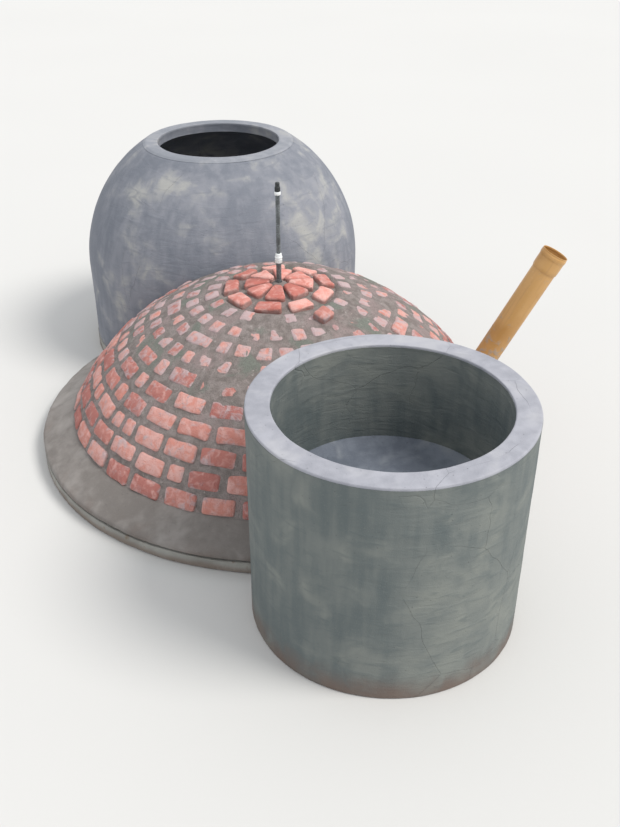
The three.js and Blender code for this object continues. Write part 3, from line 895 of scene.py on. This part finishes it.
# The floor's screed runs a little way up the wall in a fillet
floor_low, floor_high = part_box("tank_floor_slab")
FLOOR_EDGE = TANK_INNER + SCREED_KEY
FILLET_REACH = 0.06
FILLET_TOP = floor_high.z + 0.035
tank_floor = floated("floor_of_tank", turned([
    (0.0, floor_low.z), (FLOOR_EDGE, floor_low.z), (FLOOR_EDGE, FILLET_TOP),
    (TANK_INNER - 0.006, FILLET_TOP), (TANK_INNER - FILLET_REACH, floor_high.z + 0.002, 0.04),
    (0.0, floor_high.z - 0.008),
], step=0.024, sides=180, centre_y=TANK_Y), FLOOR_RENDER, wave=(0.006, 0.22), grain=(0.001, 0.03))
hand_in(tank_floor, "pale_render", "tank_floor_slab")


def rubble_finish():
    finish = Finish("packed_rubble", (0.2, 0.15, 0.12))
    broken_brick, dusty = (0.4, 0.3, 0.25), (0.3, 0.27, 0.24)
    stones = finish.pits(0.06)
    dust = finish.clouds(0.02)
    finish.coat(broken_brick, stones, 0.6, 0.1)
    finish.coat(dusty, dust, 0.5, 0.7)
    return finish.lay(finish.band(dust, -2.0, 0.4), finish.sum((stones, -1.0), (dust, 0.3)), 0.02)


rubble = frame["nodes"]["tank_rubble_fill"].data.materials
rubble.clear()
rubble.append(rubble_finish())

# Chamber
# A brick drum with a domed top, rendered with cement and floated round. The render dries from
# blue-grey to cream in patches, with a few hairlines. A thin flat screed rings the manhole.
CHAMBER_RENDER = render_finish(
    "chamber_render", (0.155, 0.17, 0.205), (0.24, 0.25, 0.285), (0.42, 0.415, 0.385),
    bloom_share=0.7, crack_share=0.16, foot=0.26)
MANHOLE_SCREED = render_finish(
    "manhole_screed", (0.21, 0.225, 0.26), (0.3, 0.31, 0.345), (0.44, 0.435, 0.41),
    bloom_share=0.6, crack_share=0.1)
CHAMBER_WAVE = (0.01, 0.36)
CHAMBER_GRAIN = (0.001, 0.03)
CHAMBER_FOOT = chamber_low.z
CHAMBER_SPRING = chamber_high.z
seat_low, seat_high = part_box("manhole_rim")
CHAMBER_TOP = seat_high.z
CHAMBER_LIP = CHAMBER_TOP - 0.014
MANHOLE_RADIUS = 0.442
LIP_ANGLE = acos((CHAMBER_LIP - CHAMBER_SPRING) / CHAMBER_RADIUS)
NECK_ANGLE = acos((seat_low.z - CHAMBER_SPRING) / CHAMBER_INNER)


def top_radius(height):
    """How far the chamber's domed top is from its axis at this height."""
    return sqrt(CHAMBER_RADIUS ** 2 - (height - CHAMBER_SPRING) ** 2)


chamber = floated("render_of_chamber", turned([
    (CHAMBER_RADIUS, CHAMBER_FOOT),
    *arc(CHAMBER_SPRING, CHAMBER_RADIUS, pi / 2, LIP_ANGLE, 50),
    (MANHOLE_RADIUS, CHAMBER_LIP), (MANHOLE_RADIUS, seat_low.z),
    *arc(CHAMBER_SPRING, CHAMBER_INNER, NECK_ANGLE, pi / 2, 30),
    (CHAMBER_INNER, CHAMBER_FOOT),
], step=0.024, sides=320, centre_y=CHAMBER_Y), CHAMBER_RENDER, CHAMBER_WAVE, CHAMBER_GRAIN)
cut(chamber, digester_block(WALL_LAP))
hand_in(chamber, "render", *(f"chamber_wall_{side}" for side in QUARTERS[:3]),
        *(f"chamber_top_{side}" for side in QUARTERS), "manhole_rim")

manhole = floated("screed_round_manhole", turned([
    (MANHOLE_RADIUS + SCREED_INSET, CHAMBER_LIP - SCREED_KEY),
    (top_radius(CHAMBER_LIP) - 2 * SCREED_INSET, CHAMBER_LIP - SCREED_KEY),
    (top_radius(CHAMBER_LIP), CHAMBER_LIP), (top_radius(CHAMBER_TOP), CHAMBER_TOP, 0.01),
    (MANHOLE_RADIUS, CHAMBER_TOP, 0.012), (MANHOLE_RADIUS, CHAMBER_LIP),
], step=0.01, sides=280, centre_y=CHAMBER_Y), MANHOLE_SCREED, CHAMBER_WAVE, CHAMBER_GRAIN)
hand_in(manhole, "pale_render", "manhole_rim")

# Inlet pipe
# An ochre plastic drain pipe that feeds the digester. It leans out of the dome's flank, open at
# the top, where its socket has a bead for the seal. Mortar splashes have dried on its foot.
INLET_LENGTH = 1.17
INLET_BORE = INLET_RADIUS - 0.005
SOCKET_SEAT = -0.1


def drain_finish():
    finish = Finish("ochre_drain_plastic", (0.5, 0.265, 0.082))
    bright, drawn_line = (0.6, 0.345, 0.125), (0.46, 0.25, 0.09)
    scratch, mortar = (0.72, 0.52, 0.3), (0.4, 0.33, 0.27)
    upright = INLET.inverted()
    finish.place = finish.add("ShaderNodeMapping", {
        "Vector": finish.place, "Location": upright.to_translation(),
        "Rotation": upright.to_euler()}).outputs[0]
    drawn = finish.clouds(0.02, 2.0, across=finish.stretched(1.0, 1.0, 0.06))
    scuff = finish.clouds(0.012, 3.0, 1.5)
    finish.coat(bright, finish.clouds(0.25), 0.35, 0.65)
    finish.coat(drawn_line, drawn, 0.5, 0.7, 0.35)
    finish.coat(scratch, scuff, 0.66, 0.74, 0.6)
    low = finish.band(finish.height(), -0.35, -0.85)
    dirt = finish.band(finish.sum((finish.clouds(0.05, 4.0, 0.8), 1.0), (low, 0.2)), 0.66, 0.8)
    finish.over(mortar, finish.math("MULTIPLY", dirt, 0.8))
    roughness = finish.sum((dirt, 0.45), (scuff, 0.25), (0.25, 1.0))
    relief = finish.sum((dirt, 1.0), (drawn, 0.12), (scuff, 0.1))
    return finish.lay(roughness, relief, 0.0012)


DRAIN = drain_finish()


def pipe_piece(name, corners, sides, finish, step=0.02, place=Matrix.Identity(4)):
    """A turned piece with a smooth skin, put in place and given its finish."""
    mesh = turned(corners, step, sides)
    mesh.transform(place)
    mesh.polygons.foreach_set("use_smooth", [True] * len(mesh.polygons))
    mesh.materials.append(finish)
    mesh.name = name
    return placed(name, mesh)


drain_pipe = pipe_piece("drain_pipe", [
    (INLET_BORE, -INLET_LENGTH), (INLET_RADIUS, -INLET_LENGTH, 0.002),
    (INLET_RADIUS, SOCKET_SEAT, 0.002), (INLET_BORE, SOCKET_SEAT, 0.002),
], 96, DRAIN, step=0.2, place=INLET)
hand_in(drain_pipe, "drain_plastic",
        *(f"inlet_pipe_{part}_length" for part in ("lower", "middle", "upper")))

# The socket from its foot up the outside, over the bead to the mouth, and down the inside
drain_socket = pipe_piece("socket_of_drain_pipe", [
    (0.0802, -0.13), (0.0832, -0.13, 0.001), (0.0858, -0.112, 0.006), (0.0858, -0.04, 0.005),
    (0.0888, -0.034, 0.003), (0.0888, -0.016, 0.003), (0.0862, -0.01, 0.003),
    (0.0872, 0.0, 0.002), (0.0832, 0.0, 0.002), (0.0818, -0.01, 0.003), (0.0848, -0.016, 0.003),
    (0.0848, -0.034, 0.003), (0.0815, -0.042, 0.003), (0.0815, -0.095, 0.004), (0.0802, -0.102),
], 96, DRAIN, step=0.01, place=INLET)
hand_in(drain_socket, "drain_plastic", "inlet_pipe_socket")

# Haunch of the inlet pipe
# Mortar thrown round the pipe where it enters the dome, and smoothed into a rough cone.
HAUNCH_TOP = -0.85
HAUNCH_FOOT = HAUNCH_TOP - 0.3
HAUNCH_BORE = INLET_RADIUS + 0.0005
HAUNCH_RADIUS = 0.152
HAUNCH_LAP = 0.01
cone = turned([
    (HAUNCH_BORE, HAUNCH_FOOT), (HAUNCH_RADIUS, HAUNCH_FOOT),
    (HAUNCH_RADIUS, HAUNCH_TOP - 0.098, 0.03), (0.1, HAUNCH_TOP, 0.018),
    (HAUNCH_BORE, HAUNCH_TOP),
], step=0.008, sides=128)
cone.transform(INLET)
haunch = floated("haunch_of_drain_pipe", cone, FLOATED_MORTAR,
                 wave=(0.022, 0.07), grain=(0.003, 0.012))
cut(haunch, digester_block(HAUNCH_LAP))
hand_in(haunch, "mortar", "inlet_pipe_haunch")

# Gas pipe
# A dark galvanised stub comes up through the plug. A white fitting joins it to a slender riser,
# and a white ring and a black screw cap close the top until the gas line is fitted.
BORE = 0.008


def zinc_finish():
    finish = Finish("dull_zinc", (0.16, 0.18, 0.19))
    bright, dark, oxide = (0.3, 0.33, 0.34), (0.1, 0.11, 0.11), (0.36, 0.35, 0.33)
    spangle = finish.pits(0.008)
    dull = finish.clouds(0.012)
    finish.coat(bright, spangle, 0.6, 0.1)
    finish.coat(dark, finish.clouds(0.05), 0.5, 0.65, 0.7)
    finish.coat(oxide, dull, 0.6, 0.75, 0.6)
    relief = finish.sum((dull, 1.0), (spangle, 0.2))
    return finish.lay(finish.band(dull, -0.7, 1.4), relief, 0.0004, metallic=0.75)


def moulded_finish(name, fresh, stained, gloss):
    """Moulded plastic with a little handling dirt on it."""
    finish = Finish(name, fresh)
    tone = finish.clouds(0.03, 3.0, 0.6)
    finish.coat(stained, tone, 0.5, 0.72, 0.6)
    relief = finish.sum((tone, 0.7), (finish.clouds(0.003, 2.0), 0.3))
    return finish.lay(finish.sum((tone, 0.25), (gloss, 1.0)), relief, 0.0002)


def above(base, *corners):
    """Corners given by their heights over a level, or under it."""
    return [(radius, base + height, *rounding) for radius, height, *rounding in corners]


def thread(radius, low, high, pitch=0.0018, depth=0.0009):
    """Corners up a screw thread, crest by crest."""
    count = int((high - low) / pitch)
    corners = []
    for turn in range(count):
        base = low + turn * pitch
        corners += [(radius - depth, base), (radius, base + pitch / 2)]
    return corners + [(radius - depth, low + count * pitch)]


def grip_ribs():
    """Adds upright ribs round a turned piece, for the hand or a wrench."""
    steps = Steps("grip_ribs", {
        "Rib count": "Int", "Ring radius": "Float", "Ring height": "Float", "Rib size": "Vector",
    })
    ring = steps.add("GeometryNodeMeshCircle", {
        "Vertices": steps.given["Rib count"], "Radius": steps.given["Ring radius"]})
    rib = steps.add("GeometryNodeMeshCube", {"Size": steps.given["Rib size"]})
    place = steps.add("GeometryNodeInputPosition").outputs[0]
    turn = steps.add("FunctionNodeAlignRotationToVector", {"Vector": place}, axis="X")
    set_round = steps.add("GeometryNodeInstanceOnPoints", {
        "Points": ring.outputs["Mesh"], "Instance": rib.outputs["Mesh"],
        "Rotation": turn.outputs[0]})
    lift = steps.add("ShaderNodeCombineXYZ", {"Z": steps.given["Ring height"]})
    raised = steps.add("GeometryNodeTransform", {
        "Geometry": set_round.outputs[0], "Translation": lift.outputs[0]})
    both = steps.add("GeometryNodeJoinGeometry")
    for geometry in (steps.given["Geometry"], raised.outputs[0]):
        steps.tree.links.new(geometry, both.inputs[0])
    steps.end(both.outputs[0])
    return steps


ZINC = zinc_finish()
WHITE_PLASTIC = moulded_finish("white_fitting", (0.8, 0.83, 0.84), (0.58, 0.58, 0.55), 0.18)
BLACK_PLASTIC = moulded_finish("black_cap", (0.022, 0.028, 0.03), (0.06, 0.06, 0.055), 0.3)
GRIP_RIBS = grip_ribs()


def ribbed(name, corners, finish, count, radius, height, size):
    """A turned fitting with grip ribs round it."""
    return GRIP_RIBS.run(name, turned(corners, step=0.004, sides=48), {
        "Rib count": count, "Ring radius": radius, "Ring height": height, "Rib size": size,
        "Finish": finish,
    })


stub = pipe_piece("stub_of_gas_pipe", [
    (BORE, stub_low.z), (STUB_RADIUS - 0.001, stub_low.z, 0.001),
    *thread(STUB_RADIUS, stub_high.z - 0.02, stub_high.z - 0.001),
    (STUB_RADIUS - 0.002, stub_high.z), (BORE, stub_high.z),
], 48, ZINC)
hand_in(stub, "galvanised_steel", "gas_pipe_stub")

low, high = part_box("gas_pipe_riser")
riser = pipe_piece("riser_of_gas_pipe", [
    (BORE, low.z), (0.0125, low.z), *thread(high.x, low.z + 0.001, low.z + 0.012),
    (high.x - 0.0003, low.z + 0.016, 0.001), (high.x - 0.0003, high.z - 0.016, 0.001),
    *thread(high.x, high.z - 0.013, high.z - 0.001), (BORE, high.z),
], 40, ZINC)
hand_in(riser, "galvanised_steel", "gas_pipe_riser")

low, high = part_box("gas_pipe_fitting")
fitting = ribbed("fitting_of_gas_pipe", [
    *above(low.z, (BORE, 0.0), (0.0215, 0.0, 0.001), (0.0215, 0.024, 0.0015),
           (0.0185, 0.026, 0.001), (0.0185, 0.031, 0.001), (high.x, 0.033, 0.001),
           (high.x, 0.038, 0.001), (0.0215, 0.04, 0.001)),
    *above(high.z, (0.019, -0.003, 0.002), (0.0165, 0.0, 0.001), (BORE, 0.0)),
], WHITE_PLASTIC, count=14, radius=0.0212, height=low.z + 0.012, size=(0.004, 0.003, 0.019))
hand_in(fitting, "white_plastic", "gas_pipe_fitting")

low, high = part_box("gas_pipe_ring")
ring = pipe_piece("ring_of_gas_pipe", [
    *above(low.z, (BORE, 0.0), (0.0165, 0.0, 0.0015), (high.x, 0.004, 0.002)),
    *above(high.z, (high.x, -0.006, 0.002), (0.0175, 0.0, 0.0015), (BORE, 0.0)),
], 48, WHITE_PLASTIC, step=0.004)
hand_in(ring, "white_plastic", "gas_pipe_ring")

low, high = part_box("gas_pipe_end_cap")
cap = ribbed("cap_of_gas_pipe", [
    *above(low.z, (0.0, 0.0), (0.016, 0.0, 0.001), (0.016, 0.03, 0.001),
           (0.014, 0.032, 0.001)),
    *above(high.z, (0.014, -0.004, 0.004), (0.01, 0.0, 0.003), (0.0, 0.0)),
], BLACK_PLASTIC, count=18, radius=0.0154, height=low.z + 0.015, size=(0.003, 0.002, 0.024))
hand_in(cap, "black_plastic", "gas_pipe_end_cap")

# Studio
# A plain pale floor, one broad soft light from the right and high up, a pale sky that fills the
# shadows, and the camera of the lower right-hand picture.
FLOOR_RADIUS = 60.0
FLOOR_DEPTH = 0.02


def floor_finish():
    finish = Finish("studio_floor", (0.6, 0.6, 0.595))
    tone = finish.clouds(3.0, 1.0)
    finish.over((0.62, 0.62, 0.615), tone)
    return finish.lay(finish.band(tone, -2.0, 0.4), finish.clouds(0.02, 1.0), 0.0003)


floor_mesh = turned([
    (0.0, -FLOOR_DEPTH), (FLOOR_RADIUS, -FLOOR_DEPTH), (FLOOR_RADIUS, 0.0), (0.0, 0.0),
], step=FLOOR_RADIUS, sides=96)
floor_mesh.materials.append(floor_finish())
placed("studio_floor", floor_mesh)

scene = bpy.context.scene
scene.view_settings.view_transform = "Standard"
scene.world = bpy.data.worlds.new("studio_sky")
scene.world.use_nodes = True
sky = scene.world.node_tree.nodes["Background"].inputs
sky["Color"].default_value = (0.97, 0.985, 1.0, 1.0)
sky["Strength"].default_value = 0.92

sun = bpy.data.lights.new("key_light", "SUN")
sun.energy = 2.4
sun.angle = radians(24)
sun.color = (1.0, 0.965, 0.91)
SHINES_TOWARDS = Vector((-0.62, 0.42, -0.95))
placed("key_light", sun).rotation_euler = SHINES_TOWARDS.to_track_quat("-Z", "Y").to_euler()

# Where that camera stood, how it was turned, and its focal length against the height of its
# frame. Here it steps back and turns to take in the whole plant.
CAMERA_PLACE = Vector((-0.984, -3.837, 2.762))
YAW = radians(19.98)
PITCH = radians(24.92)
STEP_BACK = 1.9
AIM = Vector((0.09, -0.36, 0.26))
FRAME_HEIGHT = 827
FOCAL = 965

sight = Vector((sin(YAW) * cos(PITCH), cos(YAW) * cos(PITCH), -sin(PITCH)))
lens = bpy.data.cameras.new("camera")
lens.sensor_fit = "VERTICAL"
lens.sensor_height = 24.0
lens.lens = lens.sensor_height * FOCAL / FRAME_HEIGHT
camera = placed("camera", lens)
camera.location = CAMERA_PLACE - STEP_BACK * sight
camera.rotation_euler = (AIM - camera.location).to_track_quat("-Z", "Y").to_euler()
scene.camera = camera
